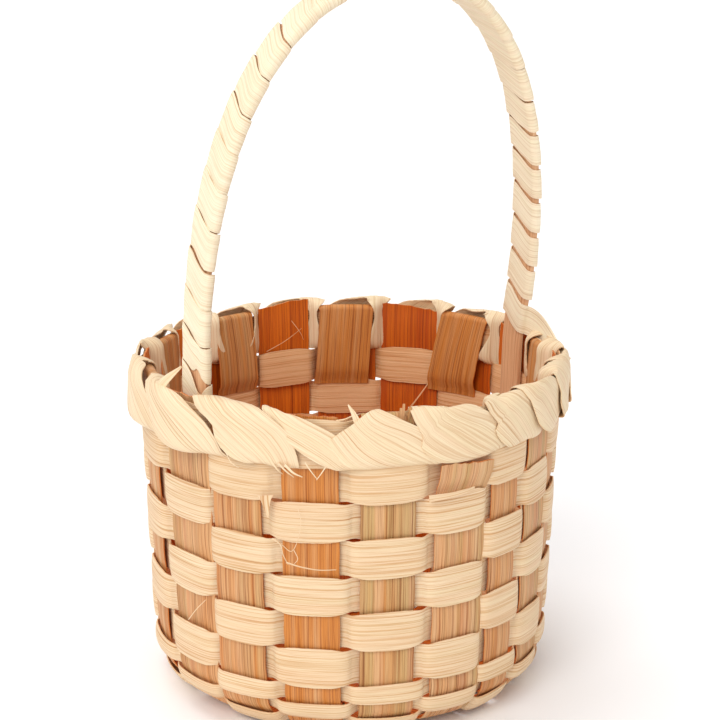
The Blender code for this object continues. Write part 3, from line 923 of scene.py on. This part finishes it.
# Short splinters stand up where a fold cracked: the middle of them, in degrees from +X, and
# the step from one to the next.
CRACKED_FOLD = -110.2
CRACKED_STEP = 0.75
CRACKED_SPLINTERS = 9
FIBRE_STEPS = 6              # between one place and the next
MILLIMETRES = 1000


def wall_path(places):
    """A smooth run of points through places on the wall."""
    path = [on_wall(0, math.radians(angle), out / MILLIMETRES)
            - Vector((0, 0, down / MILLIMETRES)) for angle, down, out in places]
    path = [path[0] * 2 - path[1]] + path + [path[-1] * 2 - path[-2]]
    points = []
    for a, b, c, d in zip(path, path[1:], path[2:], path[3:]):
        for step in range(FIBRE_STEPS):
            points.append(pass_through(a, b, c, d, step / FIBRE_STEPS))
    return points + [path[-2]]


def splinter(width, tip, places, seed, tone=0.3):
    """A thin tapering fibre that lies flat to the wall."""
    points = wall_path(places)
    rows = []
    for index, point in enumerate(points):
        ahead = points[min(index + 1, len(points) - 1)] - points[max(index - 1, 0)]
        radial = Vector((point.x, point.y, 0)).normalized()
        side = ahead.cross(radial).normalized()
        share = index / (len(points) - 1)
        half = (width + (tip - width) * share) / 2 / MILLIMETRES
        rows.append([point + side * half * (place - 1) for place in range(3)])
    thickness = min(width * 0.6, 0.45) / MILLIMETRES
    return strip_part(rows, thickness=thickness, tone=tone, seed=seed, flip=True)


def make_fibres():
    parts = [splinter(fibre[0], fibre[1], fibre[2:], 80.0 + number)
             for number, fibre in enumerate(WEAVER_FIBRES)]
    loose = make_piece("weaver_fibres", parts, HOOP)
    parts = [splinter(fibre[0], fibre[1], fibre[2:], 100.0 + number)
             for number, fibre in enumerate(LASH_FIBRES)]
    torn = make_piece("lashing_fibres", parts, LASH)
    parts = []
    spread = random.Random(5)
    for number in range(CRACKED_SPLINTERS):
        angle = CRACKED_FOLD + (number - CRACKED_SPLINTERS / 2) * CRACKED_STEP
        rise, bend = spread.uniform(1.0, 5.0), spread.uniform(-0.8, 0.8)
        places = ((angle, 4.0, 0.8), (angle, 1.0, 1.0), (angle + bend, -rise, 0.4 + bend))
        parts.append(splinter(spread.uniform(1.0, 1.8), 0.7, places, 120.0 + number, 0.4))
    cracked = make_piece("stake_fibres", parts, STAKE)
    for piece, slot in ((loose, "weaver_wood"), (torn, "lashing_wood"), (cracked, "stake_wood")):
        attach(piece, "root")


# ---- stage, light and camera --------------------------------------------------------------
FLOOR_REACH = 3.0
FLOOR_DROP = 0.0002          # just under the basket, so that the two never share a plane


def make_stage():
    reach = FLOOR_REACH
    floor_mesh = bpy.data.meshes.new("floor")
    floor_mesh.from_pydata([(-reach, -reach, 0), (reach, -reach, 0), (reach, reach, 0),
                            (-reach, reach, 0)], [], [(0, 1, 2, 3)])
    floor = bpy.data.objects.new("floor", floor_mesh)
    floor.location.z = -FLOOR_DROP
    bpy.context.scene.collection.objects.link(floor)
    paint = bpy.data.materials.new("floor_white")
    paint.use_nodes = True
    shader = paint.node_tree.nodes["Principled BSDF"]
    shader.inputs["Base Color"].default_value = (0.97, 0.965, 0.975, 1)
    shader.inputs["Roughness"].default_value = 0.6
    floor_mesh.materials.append(paint)
    world = bpy.data.worlds.new("studio")
    world.use_nodes = True
    # The backdrop looks white, while the light that it gives stays softer than the lamps'.
    tree = world.node_tree
    backdrop = tree.nodes["Background"]
    backdrop.inputs["Color"].default_value = (1, 1, 1, 1)
    backdrop.inputs["Strength"].default_value = 1.0
    ambient = tree.nodes.new("ShaderNodeBackground")
    ambient.inputs["Color"].default_value = (1.0, 0.985, 0.97, 1)
    ambient.inputs["Strength"].default_value = 0.76
    path = tree.nodes.new("ShaderNodeLightPath")
    either = tree.nodes.new("ShaderNodeMixShader")
    tree.links.new(path.outputs["Is Camera Ray"], either.inputs[0])
    tree.links.new(ambient.outputs[0], either.inputs[1])
    tree.links.new(backdrop.outputs[0], either.inputs[2])
    tree.links.new(either.outputs[0], tree.nodes["World Output"].inputs["Surface"])
    bpy.context.scene.world = world
    bpy.context.scene.view_settings.view_transform = "Standard"


def add_light(name, place, softness, power):
    """A soft lamp so far off that it lights the whole floor evenly, aimed at the basket."""
    light = bpy.data.lights.new(name, "SUN")
    light.angle = math.radians(softness)
    light.energy = power
    lamp = bpy.data.objects.new(name, light)
    lamp.location = place
    target = Vector((0, 0, HEIGHT * 0.7))
    lamp.rotation_euler = (target - Vector(place)).to_track_quat("-Z", "Y").to_euler()
    bpy.context.scene.collection.objects.link(lamp)


VIEW_TURN = math.radians(-36)
VIEW_DISTANCE = 0.633
VIEW_ABOVE_RIM = 0.178
VIEW_DOWN = 0.275            # radians below the level
VIEW_LENS = 99.15
VIEW_SHIFT = 0.0142


def make_camera():
    camera = bpy.data.cameras.new("camera")
    camera.sensor_width = 36
    camera.lens = VIEW_LENS
    camera.shift_x = VIEW_SHIFT
    view = bpy.data.objects.new("camera", camera)
    turn = Matrix.Rotation(VIEW_TURN, 4, "Z")
    place = turn @ Vector((0, -VIEW_DISTANCE, HEIGHT + VIEW_ABOVE_RIM))
    tilt = Matrix.Rotation(math.pi / 2 - VIEW_DOWN, 4, "X")
    view.matrix_world = Matrix.Translation(place) @ turn @ tilt
    bpy.context.scene.collection.objects.link(view)
    bpy.context.scene.camera = view


make_camera()
make_stage()
turn = Matrix.Rotation(VIEW_TURN, 4, "Z")
add_light("key", turn @ Vector((-0.45, -1.0, 0.90)), 34, 1.32)
add_light("top", turn @ Vector((-0.45, 0.25, 1.5)), 36, 0.80)

for number in range(10):
    make_stake(number)
for row in range(ROWS):
    make_hoop(row)
make_lashing()
make_core()
make_wrap()
make_fibres()
